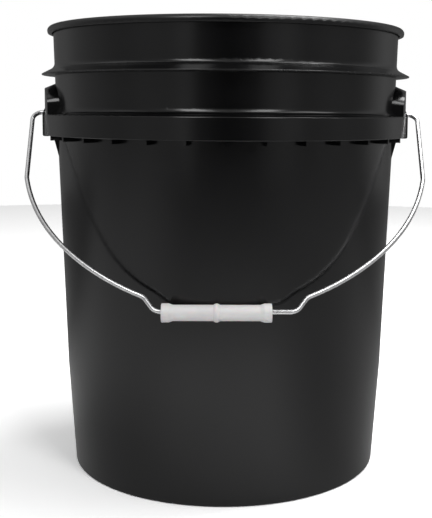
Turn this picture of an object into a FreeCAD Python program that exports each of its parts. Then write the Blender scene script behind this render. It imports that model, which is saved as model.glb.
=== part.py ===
import FreeCAD, Part
import math
import os

from FreeCAD import Vector

# Wash bucket: a moulded pail with a rolled rim, a stacking flange, a ribbed band and two bail
# ears, a bent wire bail that swings in the ears, and a plastic grip that spins on the wire.
# Millimetres. The origin is the centre of the foot ring on the floor, +Z is up, the ears are
# on the X axis and the bail hangs to the front, which is -Y.

# ---- driving dimensions of the pail ----
HEIGHT = 369.7            # floor to the top of the rim
WALL = 2.3                # thickness of the wall
FOOT_R = 131.0            # outer radius at the foot
FOOT_RING_T = 3.2         # thickness of the ring that the bucket stands on
FOOT_EDGE_R = 1.0
TAPER_Z = 85.0            # height at which the steeper foot taper ends
TAPER_R = 136.6           # outer radius there
WALL_SLOPE = 0.0362       # outward lean of the wall above TAPER_Z
SHOULDER_SLOPE = 0.029    # outward lean of the wall above the band
FLOOR_Z = 5.5             # underside of the bucket's floor, above the foot ring
FLOOR_T = 2.8             # thickness of the floor
FLOOR_CORNER_R = 6.0      # hollow rounding inside, from the wall to the floor
UNDER_CORNER_R = 1.5      # hollow rounding below, from the floor to the foot ring

# ---- rim, flange and band ----
RIM_R = 151.3             # outer radius of the rolled rim
RIM_H = 5.8               # height of the rolled rim
RIM_LEAN = 0.3            # how much less its lower edge stands out than its widest part
RIM_LOW_EDGE_R = 0.6      # rounding of its lower edge
RIM_TOP_R = 3.8           # rounding of its upper outer edge
RIM_LIP_R = 1.9           # rounding of its inner edge
GROOVE_W = 1.2            # groove between the wall and the rim's hanging skirt
GROOVE_H = 2.6
FLANGE_R = 156.3          # radius of the thin stacking flange's edge
FLANGE_Z = 330.2          # height of that edge
FLANGE_TOP_Z = 336.3      # where the flange's sloping top meets the wall
FLANGE_LOW_Z = 329.0      # where its underside meets the wall
FLANGE_EDGE_R = 0.6       # rounding of the flange's edge
FLANGE_HOLLOW = 3.5       # how far the hollow rounding above it runs along the wall and the slope
BAND_R = 154.5            # outer radius of the band
BAND_TOP_Z = 297.4
BAND_LOW_Z = 279.8
BAND_T = 2.1              # thickness of the band's skirt and of its top plate
BAND_FILLET = 7.0         # hollow rounding from the wall to the band's top
BAND_EDGE_R = 1.3         # rounding of the band's upper outer edge
BAND_CHAMFER = 0.5        # at the skirt's lower outer edge
SHOULDER_Z = BAND_TOP_Z + BAND_FILLET
SHOULDER_R = 144.7        # outer radius of the wall just above that rounding

# ---- ribs under the band ----
RIB_COUNT = 32
RIB_T = 2.0
RIB_R = 153.2             # how far out the ribs reach, under the skirt
RIB_LOW_Z = 276.2
RIB_TAIL_Z = 262.0        # where the two tapered ribs beside each ear run out
RIB_TAIL_R = 146.7        # how far out those ribs reach at RIB_LOW_Z
RIB_TAIL_CURVE = 3.0      # rounding from there out towards the ear's shell

# ---- bail ears ----
EAR_R = 154.0             # outer radius of an ear's curved face
EAR_T = 2.2               # thickness of its shell
EAR_HALF_W = 51.7         # half its width
EAR_SPRING_Z = 305.0      # height at which the arched top starts
EAR_ARCH_H = 19.5         # rise of the arch at EAR_ARCH_X
EAR_ARCH_X = 142.6
EAR_ARCH_LEAN = 0.435     # fall of the arch for each millimetre outwards
BOSS_X = 157.0            # outer face of the boss that the bail's end passes through
BOSS_HALF_W = 12.0
BOSS_LOW_Z = 278.2
BOSS_STEP_Z = 297.0       # above this the boss slopes back into the ear
BOSS_TOP_Z = 304.0
BOSS_TOP_X = 153.6        # where that slope ends, just inside the ear's face
BOSS_ROOT = 3.0           # how far the boss runs in behind the ear's shell
BOSS_EDGE_R = 2.2
BOSS_LOW_EDGE_R = 1.6
BOSS_CORE_Z = 294.5       # top of the hollow behind the boss
PIVOT_Z = 298.5           # height of the bail's axis
PIN_CLEARANCE = 0.10      # radial, between the wire and its hole

# ---- bail wire, in its own plane: across is X, reach is the distance from the pivot axis ----
WIRE_R = 1.85
BAIL_REACH = 204.6        # pivot axis to the straight run that carries the grip
RUN_HALF = 47.2           # half the length of the straight run
BAIL_BENDS = (            # (straight before the bend, bend radius, turn in degrees) per bend
    (0.0, 8.8, 56.3),
    (8.2, 8.9, -31.2),
    (0.0, 203.0, 20.7),
    (0.0, 155.0, 30.8),
    (0.0, 17.0, 10.0),
)
TOP_BEND_R = 8.0          # bend from the leg into the ear
HOOK_BEND_R = 3.0         # bend of the hook inside the ear
HOOK_X = 148.4            # where the hook's leg stands, between the wall and the ear's shell
HOOK_LEG = 4.0

# ---- grip ----
GRIP_LENGTH = 81.0
GRIP_CENTRE_X = -6.6      # the grip has slid to one end of the straight run
GRIP_BORE_R = 3.1
GRIP_BODY_R = 5.95
GRIP_END_R = 7.0
GRIP_END_L = 5.6          # length of each full-size end
GRIP_END_TAPER = 3.0      # length of the taper from the end to the body
GRIP_RING_HALF_W = 2.4    # half the width of the raised ring in the middle
GRIP_EDGE_R = 0.8
GRIP_BORE_CHAMFER = 0.4
GRIP_GAP = 0.3            # gap between the wire and the top of the bore
GRIP_DROP = GRIP_BORE_R - WIRE_R - GRIP_GAP

# ---- rest pose ----
REST_GAP = 0.4            # between the grip's ends or ring and the front of the wall

# ---- underside ----
BASE_RIB_COUNT = 12
BASE_RIB_T = 2.0
BASE_RIB_H = 3.0
BASE_RING_R = 62.0
BASE_RING_T = 2.2

OVERLAP = 1.0             # how far bodies that are joined or cut run past each other


def wall_radius(z):
    """Outer radius of the wall at a height."""
    if z <= TAPER_Z:
        return FOOT_R + (TAPER_R - FOOT_R) * (z - FOOT_EDGE_R) / (TAPER_Z - FOOT_EDGE_R)
    if z <= BAND_TOP_Z:
        return TAPER_R + WALL_SLOPE * (z - TAPER_Z)
    return SHOULDER_R + SHOULDER_SLOPE * (z - SHOULDER_Z)


class Outline:
    """A closed outline in a plane, drawn one stretch at a time from (a, b) points."""

    def __init__(self, start, to_space):
        self.to_space = to_space
        self.start = start
        self.at = start
        self.edges = []

    def line(self, a, b):
        self.edges.append(Part.LineSegment(self.to_space(*self.at), self.to_space(a, b)).toShape())
        self.at = (a, b)
        return self

    def arc(self, via, end):
        points = [self.to_space(*p) for p in (self.at, via, end)]
        self.edges.append(Part.Arc(*points).toShape())
        self.at = end
        return self

    def face(self):
        if self.at != self.start:
            self.line(*self.start)
        return Part.Face(Part.Wire(self.edges))


def radial(r, z):
    """A point of the XZ half plane, for outlines that are revolved about Z."""
    return Vector(r, 0, z)


def revolve(outline):
    return outline.face().revolve(Vector(0, 0, 0), Vector(0, 0, 1), 360)


def round_corner(centre, radius, degrees):
    """The point on a circle at an angle, for arcs given by centre, radius and angle."""
    angle = math.radians(degrees)
    return (centre[0] + radius * math.cos(angle), centre[1] + radius * math.sin(angle))


def pail_outline():
    """Section of the pail: up the outside over the foot, band, flange and rim, down the inside."""
    ring_in = FOOT_R - FOOT_RING_T
    o = Outline((ring_in, 0.0), radial)
    edge = (FOOT_R - FOOT_EDGE_R, FOOT_EDGE_R)
    o.line(edge[0], 0.0)
    o.arc(round_corner(edge, FOOT_EDGE_R, -45), (FOOT_R, FOOT_EDGE_R))
    o.line(TAPER_R, TAPER_Z)

    # under the band: its top plate, skirt and rounded upper edge
    plate_low = BAND_TOP_Z - BAND_T
    skirt_in = BAND_R - BAND_T
    o.line(wall_radius(plate_low), plate_low)
    o.line(skirt_in, plate_low)
    o.line(skirt_in, BAND_LOW_Z)
    o.line(BAND_R - BAND_CHAMFER, BAND_LOW_Z)
    o.line(BAND_R, BAND_LOW_Z + BAND_CHAMFER)
    o.line(BAND_R, BAND_TOP_Z - BAND_EDGE_R)
    edge = (BAND_R - BAND_EDGE_R, BAND_TOP_Z - BAND_EDGE_R)
    o.arc(round_corner(edge, BAND_EDGE_R, 45), (edge[0], BAND_TOP_Z))

    # hollow rounding up to the shoulder
    hollow = (SHOULDER_R + BAND_FILLET, SHOULDER_Z)
    o.line(hollow[0], BAND_TOP_Z)
    o.arc(round_corner(hollow, BAND_FILLET, 225), (SHOULDER_R, SHOULDER_Z))

    # stacking flange: a flat underside, a thin edge, a sloping top and a hollow rounding above
    o.line(wall_radius(FLANGE_LOW_Z), FLANGE_LOW_Z)
    edge = (FLANGE_R - FLANGE_EDGE_R, FLANGE_Z)
    top_r = wall_radius(FLANGE_TOP_Z)
    slope = math.atan2(FLANGE_TOP_Z - FLANGE_Z, edge[0] - top_r)
    lean = math.atan(SHOULDER_SLOPE)
    o.line(edge[0], FLANGE_Z - FLANGE_EDGE_R)
    upper_edge = round_corner(edge, FLANGE_EDGE_R, 90.0 - math.degrees(slope))
    o.arc(round_corner(edge, FLANGE_EDGE_R, 0), upper_edge)
    half_turn = (math.pi / 2 - slope - lean) / 2
    middle = slope + half_turn
    sink = FLANGE_HOLLOW * math.tan(half_turn / 2)
    o.line(top_r + FLANGE_HOLLOW * math.cos(slope), FLANGE_TOP_Z - FLANGE_HOLLOW * math.sin(slope))
    o.arc(
        (top_r + sink * math.sin(middle), FLANGE_TOP_Z + sink * math.cos(middle)),
        (top_r + FLANGE_HOLLOW * math.sin(lean), FLANGE_TOP_Z + FLANGE_HOLLOW * math.cos(lean)),
    )

    # rolled rim: a narrow groove under it, a crisp lower edge, an upright face and a round top
    rim_low = HEIGHT - RIM_H
    groove_top = rim_low + GROOVE_H
    skirt_r = wall_radius(rim_low) + GROOVE_W
    o.line(wall_radius(groove_top), groove_top)
    o.line(skirt_r, groove_top)
    o.line(skirt_r, rim_low)
    edge = (RIM_R - RIM_LEAN - RIM_LOW_EDGE_R, rim_low + RIM_LOW_EDGE_R)
    o.line(edge[0], rim_low)
    o.arc(round_corner(edge, RIM_LOW_EDGE_R, -45), round_corner(edge, RIM_LOW_EDGE_R, 0))
    crown = (RIM_R - RIM_TOP_R, HEIGHT - RIM_TOP_R)
    o.line(RIM_R, crown[1])
    o.arc(round_corner(crown, RIM_TOP_R, 45), (crown[0], HEIGHT))
    lip = (wall_radius(HEIGHT) - WALL + RIM_LIP_R, HEIGHT - RIM_LIP_R)
    o.line(lip[0], HEIGHT)
    o.arc(round_corner(lip, RIM_LIP_R, 135), round_corner(lip, RIM_LIP_R, 180))

    # down the inside and over the floor
    for z in (SHOULDER_Z, BAND_TOP_Z, TAPER_Z):
        o.line(wall_radius(z) - WALL, z)
    floor_top = FLOOR_Z + FLOOR_T
    corner_z = floor_top + FLOOR_CORNER_R
    corner = (wall_radius(corner_z) - WALL - FLOOR_CORNER_R, corner_z)
    o.line(corner[0] + FLOOR_CORNER_R, corner_z)
    o.arc(round_corner(corner, FLOOR_CORNER_R, -45), (corner[0], floor_top))
    o.line(0.0, floor_top)
    o.line(0.0, FLOOR_Z)
    under = (ring_in - UNDER_CORNER_R, FLOOR_Z - UNDER_CORNER_R)
    o.line(under[0], FLOOR_Z)
    o.arc(round_corner(under, UNDER_CORNER_R, 45), (ring_in, under[1]))
    return o


def plate(outline, thickness):
    """A flat plate of that thickness, centred on the XZ plane."""
    solid = outline.face().extrude(Vector(0, thickness, 0))
    solid.translate(Vector(0, -thickness / 2, 0))
    return solid


def turned(solid, degrees):
    """A copy turned about the bucket's axis."""
    copy = solid.copy()
    copy.rotate(Vector(0, 0, 0), Vector(0, 0, 1), degrees)
    return copy


def band_rib():
    """One flat rib between the wall and the band's skirt, standing out below the skirt."""
    inside = wall_radius(RIB_LOW_Z) - WALL / 2
    o = Outline((inside, RIB_LOW_Z), radial)
    o.line(RIB_R, RIB_LOW_Z)
    o.line(RIB_R, BAND_LOW_Z + OVERLAP)
    o.line(BAND_R - BAND_T / 2, BAND_LOW_Z + OVERLAP)
    o.line(BAND_R - BAND_T / 2, BAND_TOP_Z - BAND_T / 2)
    o.line(inside, BAND_TOP_Z - BAND_T / 2)
    return plate(o, RIB_T)


def ear_rib():
    """The rib beside the bail's end: it fills the ear's height and runs out on the wall below."""
    inside = wall_radius(RIB_TAIL_Z) - WALL / 2
    shell = EAR_R - EAR_T / 2
    o = Outline((inside, RIB_TAIL_Z), radial)
    o.line(wall_radius(RIB_TAIL_Z), RIB_TAIL_Z)
    o.line(RIB_TAIL_R, RIB_LOW_Z)
    turn = (RIB_TAIL_R + RIB_TAIL_CURVE, RIB_LOW_Z)
    o.arc(round_corner(turn, RIB_TAIL_CURVE, 135), round_corner(turn, RIB_TAIL_CURVE, 90))
    o.line(shell, BAND_LOW_Z + OVERLAP)
    o.line(shell, EAR_SPRING_Z + EAR_ARCH_H)
    o.line(inside, EAR_SPRING_Z + EAR_ARCH_H)
    return plate(o, RIB_T)


def arch_section(x, inset, low_z):
    """The ear's arched outline at one distance from the bucket's axis."""
    half = EAR_HALF_W - inset
    rise = EAR_ARCH_H - EAR_ARCH_LEAN * (x - EAR_ARCH_X) - inset
    crown = Vector(x, 0, EAR_SPRING_Z)
    ellipse = Part.Ellipse(crown + Vector(0, half, 0), crown + Vector(0, 0, rise), crown)
    arch = Part.ArcOfEllipse(ellipse, 0, math.pi).toShape()
    corners = [Vector(x, -half, EAR_SPRING_Z), Vector(x, -half, low_z), Vector(x, half, low_z)]
    corners.append(Vector(x, half, EAR_SPRING_Z))
    sides = [Part.LineSegment(a, b).toShape() for a, b in zip(corners, corners[1:])]
    return Part.Wire(Part.__sortEdges__([arch] + sides))


def ear_block(inset, low_z):
    """A block with the ear's arched top, drawn in by an inset all round."""
    near = arch_section(EAR_ARCH_X - 16.0, inset, low_z)
    far = arch_section(EAR_ARCH_X + 16.0, inset, low_z)
    return Part.makeLoft([near, far], True, True)


def ring(depth, outer, low_z):
    """A ring from a depth under the wall's outer face out to a radius, up to the flange."""
    o = Outline((wall_radius(low_z) - depth, low_z), radial)
    o.line(outer, low_z)
    o.line(outer, FLANGE_LOW_Z)
    o.line(wall_radius(FLANGE_LOW_Z) - depth, FLANGE_LOW_Z)
    return revolve(o)


def ear_boss():
    """The thickened pad round the bail's hole, with rounded edges and a sloping top."""
    inner_x = EAR_R - EAR_T - BOSS_ROOT
    o = Outline((inner_x, BOSS_LOW_Z), radial)
    o.line(BOSS_X, BOSS_LOW_Z)
    o.line(BOSS_X, BOSS_STEP_Z)
    o.line(BOSS_TOP_X, BOSS_TOP_Z)
    o.line(inner_x, BOSS_TOP_Z)
    pad = plate(o, 2 * BOSS_HALF_W)
    face_height = BOSS_STEP_Z - BOSS_LOW_Z
    upright = []
    for edge in pad.Edges:
        box = edge.BoundBox
        if box.XMin > BOSS_X - 0.01 and box.ZLength > face_height / 2:
            upright.append(edge)
    pad = pad.makeFillet(BOSS_EDGE_R, upright)
    front_low = []
    for edge in pad.Edges:
        box = edge.BoundBox
        if box.ZMax < BOSS_LOW_Z + 0.01 and box.XMin > BOSS_X - 2 * BOSS_EDGE_R:
            front_low.append(edge)
    return pad.makeFillet(BOSS_LOW_EDGE_R, front_low)


def boss_core():
    """The hollow behind the boss, below the bail's hole, open underneath."""
    half = BOSS_HALF_W - EAR_T
    near_x = EAR_R - EAR_T - OVERLAP
    low = BOSS_LOW_Z - OVERLAP
    corner = Vector(near_x, -half, low)
    return Part.makeBox(BOSS_X - EAR_T - near_x, 2 * half, BOSS_CORE_Z - low, corner)


def with_ears(pail):
    """Adds both ears: shells first, then their pockets, the ribs inside and the bail's holes."""
    low_z = RIB_TAIL_Z - 4.0
    shell = ear_block(0.0, BAND_TOP_Z - BAND_T).common(ring(WALL / 2, EAR_R, BAND_LOW_Z))
    pocket = ear_block(EAR_T, low_z).common(ring(0.0, EAR_R - EAR_T, low_z))
    rib_room = ear_block(EAR_T / 2, low_z).common(ring(WALL / 2, EAR_R - EAR_T / 2, low_z))
    beside = 360.0 / RIB_COUNT
    ribs = [turned(ear_rib(), side * beside).common(rib_room) for side in (-1, 1)]
    start = Vector(HOOK_X, 0, PIVOT_Z)
    depth = BOSS_X + OVERLAP - HOOK_X
    hole = Part.makeCylinder(WIRE_R + PIN_CLEARANCE, depth, start, Vector(1, 0, 0))
    for side in (0, 180):
        pail = pail.fuse([turned(shell, side), turned(ear_boss(), side)])
        pail = pail.cut([turned(pocket, side), turned(boss_core(), side)])
        pail = pail.fuse([turned(rib, side) for rib in ribs])
        pail = pail.cut(turned(hole, side))
    return pail


def base_ribs():
    """Low stiffening ribs and a ring under the floor, clear of the ground."""
    low = Vector(0, 0, FLOOR_Z - BASE_RIB_H)
    height = BASE_RIB_H + FLOOR_T / 2
    hoop = Part.makeCylinder(BASE_RING_R, height, low)
    hoop = hoop.cut(Part.makeCylinder(BASE_RING_R - BASE_RING_T, height, low))
    near = BASE_RING_R - BASE_RING_T / 2
    length = FOOT_R - FOOT_RING_T / 2 - near
    bar = Part.makeBox(length, BASE_RIB_T, height, low + Vector(near, -BASE_RIB_T / 2, 0))
    step = 360.0 / BASE_RIB_COUNT
    return [hoop] + [turned(bar, step * k) for k in range(BASE_RIB_COUNT)]


def tub():
    """The whole moulded pail as one solid."""
    pail = revolve(pail_outline())
    step = 360.0 / RIB_COUNT
    half_round = RIB_COUNT // 2
    ribs = []
    for k in range(RIB_COUNT):
        from_ear = min(k % half_round, half_round - k % half_round)
        if from_ear > 1:
            ribs.append(turned(band_rib(), step * k))
    pail = pail.fuse(ribs)
    pail = with_ears(pail)
    pail = pail.fuse(base_ribs())
    return pail.removeSplitter()


class WirePath:
    """A wire's centreline in the bail's plane, drawn as straight runs and tangent bends."""

    def __init__(self, across, reach, heading):
        self.at = Vector(across, reach, 0)
        self.heading = math.radians(heading)
        self.edges = []
        self.length = 0.0

    def forward(self, distance):
        if distance <= 0:
            return
        end = self.at + Vector(math.cos(self.heading), math.sin(self.heading), 0) * distance
        self.edges.append(Part.LineSegment(self.at, end).toShape())
        self.at = end
        self.length += distance

    def bend(self, radius, degrees):
        turn = math.radians(degrees)
        side = math.copysign(1.0, turn)
        centre = self.at + Vector(-math.sin(self.heading), math.cos(self.heading), 0) * radius * side

        def on_arc(share):
            angle = self.heading + turn * share
            return centre - Vector(-math.sin(angle), math.cos(angle), 0) * radius * side

        self.edges.append(Part.Arc(self.at, on_arc(0.5), on_arc(1.0)).toShape())
        self.at = on_arc(1.0)
        self.heading += turn
        self.length += radius * abs(turn)


def half_bail():
    """Half the bail, from the middle of the run to its hook, in a plane where y is -reach."""
    path = WirePath(0.0, -BAIL_REACH, 0.0)
    path.forward(RUN_HALF)
    for straight, radius, turn in BAIL_BENDS:
        path.forward(straight)
        path.bend(radius, turn)
    last_turn = math.pi - path.heading
    rise = TOP_BEND_R * (math.cos(path.heading) + 1.0)
    path.forward((-path.at.y - rise) / math.sin(path.heading))
    path.bend(TOP_BEND_R, math.degrees(last_turn))
    path.forward(path.at.x - HOOK_X - HOOK_BEND_R)
    path.bend(HOOK_BEND_R, 90.0)
    path.forward(HOOK_LEG)
    return path


def rest_angle():
    """Angle of the bail below the horizontal at which the grip rests against the front wall."""
    low, high = math.radians(30), math.radians(60)
    reach = BAIL_REACH + GRIP_DROP
    for _ in range(60):
        middle = (low + high) / 2
        z = PIVOT_Z - reach * math.sin(middle)
        free = reach * math.cos(middle) - wall_radius(z) - GRIP_END_R - REST_GAP
        if free > 0:
            low = middle
        else:
            high = middle
    return low


def into_rest(solid):
    """From the bail's plane (x, -reach) to its place at rest, swung down in front of the wall."""
    solid.rotate(Vector(0, 0, 0), Vector(1, 0, 0), math.degrees(rest_angle()))
    solid.translate(Vector(0, 0, PIVOT_Z))
    return solid


def bail_wire():
    path = half_bail()
    mirror = [e.mirror(Vector(0, 0, 0), Vector(1, 0, 0)) for e in path.edges]
    spine = Part.Wire(Part.__sortEdges__(path.edges + mirror))
    start = spine.OrderedVertexes[0].Point
    section = Part.Wire(Part.Circle(start, Vector(0, 1, 0), WIRE_R).toShape())
    wire = spine.makePipeShell([section], True, False)
    expected = math.pi * WIRE_R ** 2 * 2 * path.length
    print("bail wire length", round(2 * path.length, 1), "volume ratio", round(wire.Volume / expected, 4))
    return into_rest(wire)


def grip_outline():
    """Half section of the grip, in (x, radius): flared ends, a slimmer body and a middle ring."""
    half = GRIP_LENGTH / 2
    r = GRIP_EDGE_R
    chamfer_r = GRIP_BORE_R + GRIP_BORE_CHAMFER
    o = Outline((-half, chamfer_r), lambda x, y: Vector(x, y, 0))
    for side in (-1, 1):
        end = side * half
        flare = side * (half - GRIP_END_L)
        neck = side * (half - GRIP_END_L - GRIP_END_TAPER)
        centre = (end - side * r, GRIP_END_R - r)
        diagonal = round_corner(centre, r, 90 - side * 45)
        if side < 0:
            o.line(end, GRIP_END_R - r)
            o.arc(diagonal, (end - side * r, GRIP_END_R))
            o.line(flare, GRIP_END_R)
            o.line(neck, GRIP_BODY_R)
            o.line(-GRIP_RING_HALF_W, GRIP_BODY_R)
            o.arc((0.0, GRIP_END_R), (GRIP_RING_HALF_W, GRIP_BODY_R))
        else:
            o.line(neck, GRIP_BODY_R)
            o.line(flare, GRIP_END_R)
            o.line(end - side * r, GRIP_END_R)
            o.arc(diagonal, (end, GRIP_END_R - r))
            o.line(end, chamfer_r)
            o.line(end - GRIP_BORE_CHAMFER, GRIP_BORE_R)
    o.line(-half + GRIP_BORE_CHAMFER, GRIP_BORE_R)
    return o


def grip():
    solid = grip_outline().face().revolve(Vector(0, 0, 0), Vector(1, 0, 0), 360)
    solid.translate(Vector(GRIP_CENTRE_X, -BAIL_REACH - GRIP_DROP, 0))
    return into_rest(solid)


def export(name, shape):
    solids = shape.Solids
    solid = solids[0] if len(solids) == 1 else Part.makeCompound(solids)
    volume = round(solid.Volume / 1000, 2)
    print(name, "solids", len(solids), "valid", solid.isValid(), "volume", volume, "cm3")
    solid.exportStep("parts/" + name + ".step")


def main():
    os.makedirs("parts", exist_ok=True)
    angle = rest_angle()
    reach = BAIL_REACH + GRIP_DROP
    print("bail rests", round(math.degrees(angle), 3), "degrees below the horizontal")
    print("grip axis y", round(-reach * math.cos(angle), 4), "z", round(PIVOT_Z - reach * math.sin(angle), 4))
    export("tub", tub())
    export("bail_wire", bail_wire())
    export("grip", grip())


main()
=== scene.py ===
import math

import bmesh
import bpy
import numpy
from mathutils import Matrix, Vector


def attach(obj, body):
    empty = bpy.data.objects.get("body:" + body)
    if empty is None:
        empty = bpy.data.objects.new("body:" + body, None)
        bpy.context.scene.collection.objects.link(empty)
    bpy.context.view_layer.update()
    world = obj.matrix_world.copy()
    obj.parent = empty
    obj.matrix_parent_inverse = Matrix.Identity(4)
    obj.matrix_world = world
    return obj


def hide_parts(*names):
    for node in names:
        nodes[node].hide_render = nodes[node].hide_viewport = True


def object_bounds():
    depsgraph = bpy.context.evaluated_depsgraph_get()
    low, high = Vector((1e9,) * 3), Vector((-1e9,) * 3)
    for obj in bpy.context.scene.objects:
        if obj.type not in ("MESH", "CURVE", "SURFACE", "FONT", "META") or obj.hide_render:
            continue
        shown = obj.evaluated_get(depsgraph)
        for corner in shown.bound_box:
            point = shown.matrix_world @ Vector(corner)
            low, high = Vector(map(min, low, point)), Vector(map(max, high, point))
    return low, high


# Wash bucket: black moulded pail, bright wire bail and white grip. Metres, in the row's frame:
# +Z is up, the bail's ears are on the X axis and the bail rests on the front wall, -Y.

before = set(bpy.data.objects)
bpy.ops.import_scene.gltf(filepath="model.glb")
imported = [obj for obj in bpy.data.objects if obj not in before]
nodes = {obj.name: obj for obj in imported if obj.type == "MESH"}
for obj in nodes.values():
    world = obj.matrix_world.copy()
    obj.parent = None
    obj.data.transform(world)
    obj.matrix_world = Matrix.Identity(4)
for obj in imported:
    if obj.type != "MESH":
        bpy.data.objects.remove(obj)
cad_low, cad_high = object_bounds()
scene = bpy.context.scene


# ---- node helpers ----
class Nodes:
    """A material's node tree, with short calls for the nodes used here."""

    def __init__(self, name):
        self.material = bpy.data.materials.new(name)
        self.material.use_nodes = True
        self.tree = self.material.node_tree
        self.tree.nodes.clear()
        self.output = self.tree.nodes.new("ShaderNodeOutputMaterial")
        self.shader = self.tree.nodes.new("ShaderNodeBsdfPrincipled")
        self.link(self.shader.outputs["BSDF"], self.output.inputs["Surface"])

    def new(self, kind, **settings):
        node = self.tree.nodes.new(kind)
        for key, value in settings.items():
            setattr(node, key, value)
        return node

    def link(self, source, target):
        self.tree.links.new(source, target)

    def place(self, stretch=(1.0, 1.0, 1.0)):
        """Object coordinates, scaled on each axis."""
        coordinates = self.new("ShaderNodeTexCoord")
        mapping = self.new("ShaderNodeMapping")
        mapping.inputs["Scale"].default_value = stretch
        self.link(coordinates.outputs["Object"], mapping.inputs["Vector"])
        return mapping.outputs["Vector"]

    def noise(self, scale, stretch=(1.0, 1.0, 1.0), detail=4.0, rough=0.55, distortion=0.0):
        node = self.new("ShaderNodeTexNoise")
        node.inputs["Scale"].default_value = scale
        node.inputs["Detail"].default_value = detail
        node.inputs["Roughness"].default_value = rough
        node.inputs["Distortion"].default_value = distortion
        self.link(self.place(stretch), node.inputs["Vector"])
        return node.outputs["Fac"]

    def remap(self, value, low, high, to_low, to_high, smooth=True):
        node = self.new("ShaderNodeMapRange")
        node.interpolation_type = "SMOOTHSTEP" if smooth else "LINEAR"
        node.inputs["From Min"].default_value = low
        node.inputs["From Max"].default_value = high
        node.inputs["To Min"].default_value = to_low
        node.inputs["To Max"].default_value = to_high
        self.link(value, node.inputs["Value"])
        return node.outputs["Result"]

    def math(self, operation, a, b=None):
        node = self.new("ShaderNodeMath", operation=operation)
        for slot, value in enumerate((a, b)):
            if value is None:
                continue
            if isinstance(value, (int, float)):
                node.inputs[slot].default_value = value
            else:
                self.link(value, node.inputs[slot])
        return node.outputs[0]

    def mix_colour(self, share, first, second):
        node = self.new("ShaderNodeMix", data_type="RGBA")
        self.link(share, node.inputs["Factor"])
        for name, value in (("A", first), ("B", second)):
            socket = [s for s in node.inputs if s.name == name and s.type == "RGBA"][0]
            if isinstance(value, tuple):
                socket.default_value = (*value, 1.0)
            else:
                self.link(value, socket)
        return [s for s in node.outputs if s.type == "RGBA"][0]

    def mix_value(self, share, first, second):
        """A number that goes from the first to the second as the share goes from 0 to 1."""
        rest = self.math("SUBTRACT", 1.0, share)
        start = self.math("MULTIPLY", rest, first)
        return self.math("ADD", start, self.math("MULTIPLY", share, second))

    def bump(self, height, strength, distance, under=None):
        node = self.new("ShaderNodeBump")
        node.inputs["Strength"].default_value = strength
        node.inputs["Distance"].default_value = distance
        self.link(height, node.inputs["Height"])
        if under is not None:
            self.link(under, node.inputs["Normal"])
        return node.outputs["Normal"]

    def axis(self, name):
        """One object coordinate, in metres."""
        coordinates = self.new("ShaderNodeTexCoord")
        split = self.new("ShaderNodeSeparateXYZ")
        self.link(coordinates.outputs["Object"], split.inputs["Vector"])
        return split.outputs[name]

    def radius(self):
        """Distance from the bucket's axis, in metres."""
        x, y = self.axis("X"), self.axis("Y")
        total = self.math("ADD", self.math("MULTIPLY", x, x), self.math("MULTIPLY", y, y))
        return self.math("SQRT", total)


# ---- materials: colours are linear, lengths are metres ----
PLASTIC_IOR = 1.5
TUB_BLACK = ((0.0022, 0.0022, 0.0025), (0.0034, 0.0034, 0.0038))
TUB_RUBBED = (0.030, 0.030, 0.031)
TUB_ROUGH = (0.15, 0.22)
RUBBED_SHARE = 0.6              # how far a rubbed spot goes to its paler colour
RUBBED_ROUGH = 0.25             # roughness that a rubbed spot adds
RIM_ROUGH = 0.16                # roughness that the rim's top adds
FLANGE_EDGE = (0.1552, 0.1563)  # radii over which the flange's edge begins to look rubbed
FOOT_EDGE = (0.0045, 0.0)       # heights over which the foot does
CROWN_Z = (0.3685, 0.3697)      # heights and radii over which the rim's crown does
CROWN_R = (0.143, 0.145)
RIM_TOP_Z = (0.3640, 0.3680)    # heights over which the rim's top turns rougher
STEEL_TONES = ((0.74, 0.74, 0.75), (0.86, 0.86, 0.86))
STEEL_ROUGH = (0.24, 0.34)
GRIP_TONES = ((0.93, 0.915, 0.915), (0.87, 0.85, 0.85))
GRIP_ROUGH = (0.32, 0.46)


def tub_plastic():
    """Black polyethylene: semi-gloss, with waviness, fine moulded grain, haze and rubbed edges."""
    n = Nodes("tub_plastic")
    shader = n.shader
    shader.inputs["IOR"].default_value = PLASTIC_IOR
    blotch = n.noise(9.0, detail=3.0)
    base = n.mix_colour(n.remap(blotch, 0.3, 0.7, 0.0, 1.0), *TUB_BLACK)
    radius, z = n.radius(), n.axis("Z")
    speckle = n.remap(n.noise(260.0, detail=5.0, rough=0.7), 0.50, 0.72, 0.0, 1.0)
    flange = n.remap(radius, *FLANGE_EDGE, 0.0, 1.0)
    foot = n.remap(z, *FOOT_EDGE, 0.0, 1.0)
    high = n.remap(z, *CROWN_Z, 0.0, 1.0)
    crown = n.math("MULTIPLY", high, n.remap(radius, *CROWN_R, 0.0, 1.0))
    edge = n.math("MAXIMUM", flange, n.math("MAXIMUM", foot, crown))
    rubbed = n.math("MULTIPLY", edge, speckle)
    colour = n.mix_colour(n.math("MULTIPLY", rubbed, RUBBED_SHARE), base, TUB_RUBBED)
    n.link(colour, shader.inputs["Base Color"])
    haze = n.noise(14.0, (1.0, 1.0, 0.35), detail=5.0, distortion=0.4)
    grain = n.noise(900.0, detail=2.0)
    rough = n.remap(haze, 0.25, 0.75, *TUB_ROUGH)
    rough = n.math("ADD", rough, n.remap(grain, 0.3, 0.7, -0.015, 0.015))
    rough = n.math("ADD", rough, n.math("MULTIPLY", rubbed, RUBBED_ROUGH))
    rough = n.math("ADD", rough, n.remap(z, *RIM_TOP_Z, 0.0, RIM_ROUGH))
    n.link(rough, shader.inputs["Roughness"])
    wave = n.noise(9.0, (1.0, 1.0, 0.4), detail=1.0, rough=0.3)
    fine = n.noise(420.0, detail=2.0)
    normal = n.bump(wave, 1.0, 0.0012)
    normal = n.bump(fine, 0.05, 0.0001, under=normal)
    n.link(normal, shader.inputs["Normal"])
    return n.material


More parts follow.
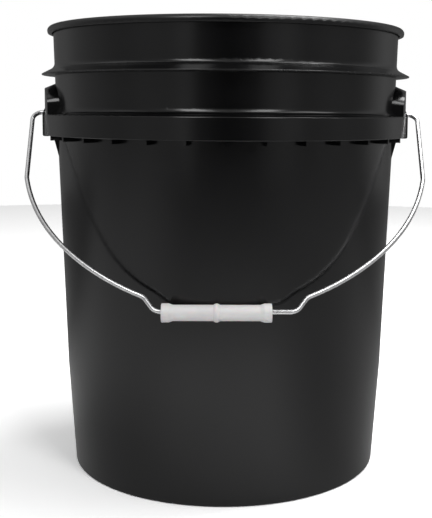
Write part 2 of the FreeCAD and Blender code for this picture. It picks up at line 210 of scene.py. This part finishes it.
def bail_steel():
    """Bright galvanised wire: metal with a faint zinc mottle and fine drawing marks."""
    n = Nodes("bail_steel")
    shader = n.shader
    shader.inputs["Metallic"].default_value = 1.0
    mottle = n.noise(220.0, detail=4.0)
    colour = n.mix_colour(n.remap(mottle, 0.35, 0.65, 0.0, 1.0), *STEEL_TONES)
    n.link(colour, shader.inputs["Base Color"])
    marks = n.noise(500.0, detail=3.0)
    n.link(n.remap(marks, 0.3, 0.7, *STEEL_ROUGH), shader.inputs["Roughness"])
    n.link(n.bump(n.noise(900.0, detail=3.0), 0.1, 0.00005), shader.inputs["Normal"])
    return n.material


def grip_plastic():
    """Off-white moulded polyethylene with a satin skin and faint handling marks."""
    n = Nodes("grip_plastic")
    shader = n.shader
    shader.inputs["IOR"].default_value = PLASTIC_IOR
    shader.inputs["Subsurface Weight"].default_value = 0.15
    shader.inputs["Subsurface Scale"].default_value = 0.002
    smudge = n.noise(60.0, detail=4.0)
    colour = n.mix_colour(n.remap(smudge, 0.35, 0.7, 0.0, 1.0), *GRIP_TONES)
    n.link(colour, shader.inputs["Base Color"])
    satin = n.noise(300.0, detail=3.0)
    n.link(n.remap(satin, 0.3, 0.7, *GRIP_ROUGH), shader.inputs["Roughness"])
    normal = n.bump(n.noise(1200.0, detail=2.0), 0.1, 0.00005)
    n.link(normal, shader.inputs["Normal"])
    return n.material


def dress(node, material):
    """Gives a CAD node its material and leaves its mesh as it is."""
    mesh = nodes[node].data
    mesh.materials.clear()
    mesh.materials.append(material)


# ---- the pail's and the wire's meshes ----
BOSS_INNER_X = 0.1505           # the flat pads round the bail's holes lie outside this X
BOSS_HALF_W = 0.0126            # and within this Y
MERGE_DIST = 1e-6
FINE_TURN = 1.0                 # edges that turn about the axis by fewer degrees stay whole
COARSE_TURN = 8.0               # and so do edges that turn by more, which cross flat faces
ROUND_PASSES = 3
SHARP_ANGLE = 36.0              # least angle of an edge that stays sharp
ARCS = (                        # (radius, height) of each rounding's start, middle and end
    ((0.1517, 0.2974), (0.14675, 0.29945), (0.1447, 0.3044)),
    ((0.1545, 0.2961), (0.154119, 0.297019), (0.1532, 0.2974)),
)
ARC_SLACK = 0.00003
CHORD_SLACK = 0.00015           # how far the chords of the roundings lie inside their circles
ARC_STEP = 5.0                  # widest turn of the section's direction along one edge
ARC_PASSES = 2
ARC_REACH = 14.0                # a corner follows the arc if its face is this close to it
ARCH_Z = (0.3046, 0.3275)       # heights between which the ears' arched tops lie
ARCH_RISE = 0.2                 # an arched top's faces look up by more than this
ASIDE_LIMIT = 0.12              # turned faces look no further aside than this
CIRCLE_STEP = 1e-5              # corners this close in radius and height are on one circle
CIRCLE_CORNERS = 40             # fewest corners that make a whole circle
PIVOT_Z = 0.2985                # height of the bail's axis
GRIP_AXIS = (-0.1465097, 0.1543275)  # Y and Z of the grip's axis at rest
WIRE_R = 0.00185
WIRE_SIDE_SLACK = 0.4           # faces further from the round section's slope are the cut ends


def turn_of(edge):
    """How far an edge goes round the bucket's axis, in degrees."""
    first, last = edge.verts[0].co, edge.verts[1].co
    cross = first.x * last.y - first.y * last.x
    along = first.x * last.x + first.y * last.y
    return abs(math.degrees(math.atan2(cross, along)))


def on_boss(edge):
    """Whether an edge lies on the flat pad round one of the bail's holes."""
    return all(abs(v.co.x) > BOSS_INNER_X and abs(v.co.y) < BOSS_HALF_W for v in edge.verts)


def circle_through(a, b, c):
    """Centre and radius of the circle through three points of the pail's section."""
    turn = 2.0 * (a[0] * (b[1] - c[1]) + b[0] * (c[1] - a[1]) + c[0] * (a[1] - b[1]))
    aa, bb, cc = (p[0] ** 2 + p[1] ** 2 for p in (a, b, c))
    r = (aa * (b[1] - c[1]) + bb * (c[1] - a[1]) + cc * (a[1] - b[1])) / turn
    z = (aa * (c[0] - b[0]) + bb * (a[0] - c[0]) + cc * (b[0] - a[0])) / turn
    return r, z, math.hypot(a[0] - r, a[1] - z)


def in_arc_box(arc, out, z):
    """Whether points of the section lie within a rounding's own width and height."""
    inside = True
    for k, value in ((0, out), (1, z)):
        ends = [p[k] for p in arc]
        inside &= (value > min(ends) - ARC_SLACK) & (value < max(ends) + ARC_SLACK)
    return inside


def onto_arcs(v, layer):
    """Moves a new point from the chord of a rounding out to its circle."""
    out = math.hypot(v.co.x, v.co.y)
    for arc in ARCS:
        r, z, size = circle_through(*arc)
        away = math.hypot(out - r, v.co.z - z)
        if in_arc_box(arc, out, v.co.z) and abs(away - size) < CHORD_SLACK:
            share = (r + (out - r) * size / away) / out
            v.co = Vector((v.co.x * share, v.co.y * share, z + (v.co.z - z) * size / away))
            v[layer] = out * share
            return


def refine_arc(bm, arc, layer):
    """Divides the edges that cross one rounding of the section, with new points on its circle."""
    r, z, size = circle_through(*arc)

    def tilt(v):
        out = math.hypot(v.co.x, v.co.y)
        off = abs(math.hypot(out - r, v.co.z - z) - size)
        if off < ARC_SLACK and in_arc_box(arc, out, v.co.z):
            return math.atan2(v.co.z - z, out - r)
        return None

    for _ in range(ARC_PASSES):
        tilts = {v: tilt(v) for v in bm.verts}
        wide = []
        for e in bm.edges:
            first, last = tilts[e.verts[0]], tilts[e.verts[1]]
            if first is None or last is None or on_boss(e):
                continue
            if abs(first - last) > math.radians(ARC_STEP):
                wide.append(e)
        made = bmesh.ops.subdivide_edges(bm, edges=wide, cuts=1)
        for v in made["geom_inner"]:
            if isinstance(v, bmesh.types.BMVert):
                onto_arcs(v, layer)


def read_values(items, name, width, kind=numpy.float32):
    """One property of all of a mesh's corners, points or faces, as rows of that width."""
    values = numpy.empty(len(items) * width, kind)
    items.foreach_get(name, values)
    return values.reshape(-1, width) if width > 1 else values


def turned_faces(mesh):
    """Each face's slope in the pail's section, and whether the face was turned about its axis."""
    normal = read_values(mesh.polygons, "normal", 3).astype(float)
    centre = read_values(mesh.polygons, "center", 3).astype(float)
    around = numpy.arctan2(centre[:, 1], centre[:, 0])
    outward = normal[:, 0] * numpy.cos(around) + normal[:, 1] * numpy.sin(around)
    aside = normal[:, 1] * numpy.cos(around) - normal[:, 0] * numpy.sin(around)
    slope = numpy.arctan2(normal[:, 2], outward)
    on_pad = numpy.abs(centre[:, 0]) > BOSS_INNER_X
    on_pad &= numpy.abs(centre[:, 1]) < BOSS_HALF_W
    on_arch = (centre[:, 2] > ARCH_Z[0]) & (centre[:, 2] < ARCH_Z[1])
    on_arch &= normal[:, 2] > ARCH_RISE
    return slope, (numpy.abs(aside) < ASIDE_LIMIT) & ~on_pad & ~on_arch


def mean_slopes(reach, height, tilt, weight):
    """The slopes of corners on one circle, averaged by area where they differ by no sharp edge."""
    circle = numpy.round(reach / CIRCLE_STEP) * 1e6 + numpy.round(height / CIRCLE_STEP)
    order = numpy.lexsort((tilt, circle))
    new_group = numpy.ones(len(order), bool)
    same_circle = circle[order][1:] == circle[order][:-1]
    close_tilt = numpy.diff(tilt[order]) < math.radians(SHARP_ANGLE)
    new_group[1:] = ~(same_circle & close_tilt)
    group = numpy.cumsum(new_group) - 1
    outs = numpy.bincount(group, (weight * numpy.cos(tilt))[order])
    ups = numpy.bincount(group, (weight * numpy.sin(tilt))[order])
    many = numpy.bincount(group) >= CIRCLE_CORNERS
    mean = numpy.arctan2(ups, outs)[group]
    even = tilt.copy()
    even[order] = numpy.where(many[group], mean, tilt[order])
    return even


def follow_arcs(reach, height, tilt, even):
    """Gives the corners that lie on a rounding the exact slope of its circle."""
    for arc in ARCS:
        r, z, size = circle_through(*arc)
        on_arc = numpy.abs(numpy.hypot(reach - r, height - z) - size) < ARC_SLACK
        on_arc &= in_arc_box(arc, reach, height)
        for side in (1.0, -1.0):
            exact = numpy.arctan2(side * (height - z), side * (reach - r))
            near = on_arc & (numpy.abs(exact - tilt) < math.radians(ARC_REACH))
            even[near] = exact[near]


def even_normals(mesh):
    """Sets the corner normals of turned faces from their slope, averaged all round each circle."""
    normals = read_values(mesh.corner_normals, "vector", 3)
    vertex = read_values(mesh.loops, "vertex_index", 1, numpy.int32)
    place = read_values(mesh.vertices, "co", 3)[vertex].astype(float)
    slope, turned = turned_faces(mesh)
    area = read_values(mesh.polygons, "area", 1).astype(float)
    corners_each = read_values(mesh.polygons, "loop_total", 1, numpy.int32)
    face_of = numpy.repeat(numpy.arange(len(mesh.polygons)), corners_each)
    chosen = numpy.nonzero(turned[face_of])[0]
    reach = numpy.hypot(place[chosen, 0], place[chosen, 1])
    height = place[chosen, 2]
    tilt = slope[face_of[chosen]]
    even = mean_slopes(reach, height, tilt, area[face_of[chosen]])
    follow_arcs(reach, height, tilt, even)
    turn = numpy.arctan2(place[chosen, 1], place[chosen, 0])
    normals[chosen, 0] = numpy.cos(even) * numpy.cos(turn)
    normals[chosen, 1] = numpy.cos(even) * numpy.sin(turn)
    normals[chosen, 2] = numpy.sin(even)
    mesh.normals_split_custom_set(normals.tolist())


def smooth_wire():
    """The wire's mesh with corner normals that follow its round section, in the bail's plane."""
    mesh = nodes["bail_wire"].data.copy()
    mesh.name = "bail_body"
    mesh.transform(nodes["bail_wire"].matrix_world)
    normals = []
    drop = math.atan2(PIVOT_Z - GRIP_AXIS[1], -GRIP_AXIS[0])
    off_plane = Vector((0.0, -math.sin(drop), math.cos(drop)))
    pivot = Vector((0.0, 0.0, PIVOT_Z))
    for corner, loop in zip(mesh.corner_normals, mesh.loops):
        normal = corner.vector.copy()
        lift = (mesh.vertices[loop.vertex_index].co - pivot).dot(off_plane) / WIRE_R
        lift = max(-1.0, min(1.0, lift))
        in_plane = normal - off_plane * normal.dot(off_plane)
        if abs(normal.dot(off_plane) - lift) < WIRE_SIDE_SLACK and in_plane.length > 1e-4:
            normal = in_plane.normalized() * math.sqrt(1.0 - lift * lift) + off_plane * lift
        normals.append(normal)
    mesh.normals_split_custom_set(normals)
    wire = bpy.data.objects.new("bail_body", mesh)
    scene.collection.objects.link(wire)
    mesh.materials.clear()
    mesh.materials.append(bail_steel())
    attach(wire, "bail")
    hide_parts("bail_wire")


def round_tub():
    """The pail's mesh with its round faces divided until no facet shows, on the same surfaces."""
    mesh = nodes["tub"].data.copy()
    mesh.name = "pail_body"
    bm = bmesh.new()
    bm.from_mesh(mesh)
    bmesh.ops.remove_doubles(bm, verts=bm.verts, dist=MERGE_DIST)
    reach = bm.verts.layers.float.new("reach")
    for v in bm.verts:
        v[reach] = math.hypot(v.co.x, v.co.y)
    for _ in range(ROUND_PASSES):
        wide = [e for e in bm.edges if FINE_TURN < turn_of(e) < COARSE_TURN and not on_boss(e)]
        made = bmesh.ops.subdivide_edges(bm, edges=wide, cuts=1)
        for v in made["geom_inner"]:
            if isinstance(v, bmesh.types.BMVert):
                grow = v[reach] / math.hypot(v.co.x, v.co.y)
                v.co.x *= grow
                v.co.y *= grow
                onto_arcs(v, reach)
    for arc in ARCS:
        refine_arc(bm, arc, reach)
    for face in bm.faces:
        face.smooth = True
    for edge in bm.edges:
        sharp = len(edge.link_faces) == 2 and edge.calc_face_angle() > math.radians(SHARP_ANGLE)
        edge.smooth = not sharp
    bm.to_mesh(mesh)
    bm.free()
    even_normals(mesh)
    tub = bpy.data.objects.new("pail_body", mesh)
    scene.collection.objects.link(tub)
    mesh.materials.clear()
    mesh.materials.append(tub_plastic())
    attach(tub, "pail")
    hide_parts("tub")


round_tub()
smooth_wire()
dress("grip", grip_plastic())


# ---- floor ----
FLOOR_R = 2.2
FLOOR_SIDES = 96
FLOOR_GAP = 0.0003              # the paper lies this far under the foot
PAPER_SEEN = (1.58, 1.62)       # white to the camera, with a faint mottle
FRONT_LIGHT = 0.33              # the front paper's painted light for other rays: this over the distance, a painted fall-off of light
# the most painted light that the front paper has for other rays
FRONT_MOST = 0.75
SIDE_PAINTED_LIGHT = (0.62, 0.37)       # the painted light at the left and at the right, brighter on the left
SIDE_SPREAD = 0.1               # X to each side over which they change
SIDE_SHARE = (0.35, 0.9)        # X over distance, where the front turns into the sides
# painted shade: the paper's tone for other rays behind the bucket
BACK_PAINTED_SHADE = 0.2
BACK_Y = 0.40                   # the painted light has turned into the back's painted shade at this Y


def make_floor():
    """A round sheet of white paper; for the rays that light the bucket its tone is painted light
    and shade.
    """
    mesh = bpy.data.meshes.new("floor")
    bm = bmesh.new()
    bmesh.ops.create_circle(bm, cap_ends=True, segments=FLOOR_SIDES, radius=FLOOR_R)
    bm.to_mesh(mesh)
    bm.free()
    floor = bpy.data.objects.new("floor", mesh)
    floor.location = (0.0, 0.0, cad_low.z - FLOOR_GAP)
    scene.collection.objects.link(floor)
    n = Nodes("floor_paper")
    n.shader.inputs["Roughness"].default_value = 0.9
    n.shader.inputs["Specular IOR Level"].default_value = 0.0
    path = n.new("ShaderNodeLightPath")
    paper = n.mix_colour(n.noise(3.0), *((tone, tone, tone) for tone in PAPER_SEEN))
    # painted light and shade for the rays that light the bucket: falling off with distance in
    # front, brighter on the left, dark behind
    reach = n.radius()
    front = n.math("MINIMUM", n.math("DIVIDE", FRONT_LIGHT, reach), FRONT_MOST)
    aside = n.math("DIVIDE", n.math("ABSOLUTE", n.axis("X")), reach)
    sides = n.remap(n.axis("X"), -SIDE_SPREAD, SIDE_SPREAD, *SIDE_PAINTED_LIGHT)
    front = n.mix_value(n.remap(aside, *SIDE_SHARE, 0.0, 1.0), front, sides)
    behind = n.remap(n.axis("Y"), 0.0, BACK_Y, 0.0, 1.0)
    lit = n.mix_value(behind, front, BACK_PAINTED_SHADE)
    n.link(n.mix_colour(path.outputs["Is Camera Ray"], lit, paper), n.shader.inputs["Base Color"])
    mesh.materials.append(n.material)


make_floor()


# ---- light ----
def softbox(name, place, aim, width, height, radiance):
    """A soft area light that faces a point, with its brightness as a radiance."""
    data = bpy.data.lights.new(name, "AREA")
    data.shape = "RECTANGLE"
    data.size = width
    data.size_y = height
    data.energy = radiance * math.pi * width * height
    light = bpy.data.objects.new(name, data)
    light.location = place
    light.rotation_euler = (Vector(aim) - Vector(place)).to_track_quat("-Z", "Y").to_euler()
    light.visible_camera = False
    scene.collection.objects.link(light)


FOOT = (0.0, 0.0, 0.0)          # the softboxes face the middle of the foot
FOOT_FRONT = (0.0, -0.1, 0.0)   # or a place just in front of it
SOFTBOXES = (                   # name, place, aim, width, height, radiance
    ("key_back_right", (0.5, 0.25, 1.85), FOOT, 0.8, 0.8, 8.0),
    ("key_right", (0.95, -0.25, 1.7), FOOT, 0.8, 0.8, 2.4),
    ("front_left", (-0.62, -1.35, 1.75), FOOT_FRONT, 0.5, 0.9, 6.2),
    ("front_right", (0.72, -1.35, 1.75), FOOT_FRONT, 0.5, 0.9, 6.2),
    ("left_fill", (-1.0, 0.1, 1.7), FOOT, 0.9, 0.9, 0.4),
)
for box in SOFTBOXES:
    softbox(*box)

# brightness of the studio's surroundings by direction: degrees round from -Y towards +X, and
# radiance; the dark strip in front is the gap between the two front softboxes
STUDIO_WALLS = (
    (-180, 0.10),
    (-150, 0.16),
    (-120, 0.32),
    (-95, 0.31),
    (-72, 0.27),
    (-52, 0.34),
    (-36, 0.33),
    (-24, 0.46),
    (-17, 0.10),
    (0, 0.02),
    (17, 0.08),
    (27, 0.32),
    (38, 0.42),
    (52, 0.27),
    (72, 0.31),
    (95, 0.24),
    (120, 0.38),
    (150, 0.14),
    (180, 0.10),
)
WALL_TOP = (30.0, 40.0)         # degrees above the horizon at which the walls meet the ceiling
CEILING = 0.35
CEILING_MIDDLE = (60.0, 70.0)   # degrees at which the ceiling's brighter middle begins
CEILING_LIGHT = 0.5


def make_world():
    """Dim studio surroundings by direction, which the camera sees as plain white."""
    world = bpy.data.worlds.new("studio")
    world.use_nodes = True
    scene.world = world
    tree = world.node_tree
    tree.nodes.clear()
    link = tree.links.new

    def calc(operation, a, b=None):
        node = tree.nodes.new("ShaderNodeMath")
        node.operation = operation
        for slot, value in enumerate((a, b)):
            if isinstance(value, (int, float)):
                node.inputs[slot].default_value = value
            elif value is not None:
                link(value, node.inputs[slot])
        return node.outputs[0]

    def ease(value, low, high, start, end):
        node = tree.nodes.new("ShaderNodeMapRange")
        node.interpolation_type = "SMOOTHSTEP"
        for name, number in zip(("From Min", "From Max"), (low, high)):
            node.inputs[name].default_value = number
        for name, number in zip(("To Min", "To Max"), (start, end)):
            if isinstance(number, (int, float)):
                node.inputs[name].default_value = number
            else:
                link(number, node.inputs[name])
        link(value, node.inputs["Value"])
        return node.outputs["Result"]

    direction = tree.nodes.new("ShaderNodeTexCoord")
    split = tree.nodes.new("ShaderNodeSeparateXYZ")
    link(direction.outputs["Generated"], split.inputs["Vector"])
    turn = calc("ARCTAN2", split.outputs["X"], calc("MULTIPLY", split.outputs["Y"], -1.0))
    share = calc("ADD", calc("DIVIDE", turn, 2 * math.pi), 0.5)
    ramp = tree.nodes.new("ShaderNodeValToRGB")
    ramp.color_ramp.interpolation = "EASE"
    stops = ramp.color_ramp.elements
    while len(stops) > 1:
        stops.remove(stops[-1])
    for k, (degrees, level) in enumerate(STUDIO_WALLS):
        place = degrees / 360.0 + 0.5
        stop = stops[0] if k == 0 else stops.new(place)
        stop.position = place
        stop.color = (level, level, level, 1.0)
    link(share, ramp.inputs["Fac"])
    lift = calc("MULTIPLY", calc("ARCSINE", split.outputs["Z"]), 180.0 / math.pi)
    walls = ease(lift, *WALL_TOP, ramp.outputs["Color"], CEILING)
    level = calc("MAXIMUM", walls, ease(lift, *CEILING_MIDDLE, 0.0, CEILING_LIGHT))

    surround = tree.nodes.new("ShaderNodeBackground")
    link(level, surround.inputs["Strength"])
    paper = tree.nodes.new("ShaderNodeBackground")
    paper.inputs["Color"].default_value = (1.0, 1.0, 1.0, 1.0)
    paper.inputs["Strength"].default_value = 1.0
    surround.inputs["Color"].default_value = (1.0, 1.0, 1.0, 1.0)
    path = tree.nodes.new("ShaderNodeLightPath")
    mix = tree.nodes.new("ShaderNodeMixShader")
    link(path.outputs["Is Camera Ray"], mix.inputs["Fac"])
    link(surround.outputs["Background"], mix.inputs[1])
    link(paper.outputs["Background"], mix.inputs[2])
    out = tree.nodes.new("ShaderNodeOutputWorld")
    link(mix.outputs["Shader"], out.inputs["Surface"])


make_world()
scene.view_settings.view_transform = "Standard"


# ---- camera, fitted to the photograph's perspective ----
CAMERA_AT = (-0.0032, -0.8249, 0.30293)
CAMERA_PITCH = 5.94             # degrees down
CAMERA_TURN = 1.475             # degrees towards +X
CAMERA_ROLL = 0.45
CAMERA_LENS = 65.615            # mm, for a sensor of the width below
CAMERA_SENSOR = 36.0
CAMERA_SHIFT = (-0.0580, -0.1005)


def make_camera():
    data = bpy.data.cameras.new("camera")
    data.lens = CAMERA_LENS
    data.sensor_width = CAMERA_SENSOR
    data.shift_x, data.shift_y = CAMERA_SHIFT
    camera = bpy.data.objects.new("camera", data)
    turn = Matrix.Rotation(math.radians(-CAMERA_TURN), 4, "Z")
    pitch = Matrix.Rotation(math.radians(90.0 - CAMERA_PITCH), 4, "X")
    roll = Matrix.Rotation(math.radians(CAMERA_ROLL), 4, "Z")
    camera.matrix_world = Matrix.Translation(CAMERA_AT) @ turn @ pitch @ roll
    scene.collection.objects.link(camera)
    scene.camera = camera


make_camera()
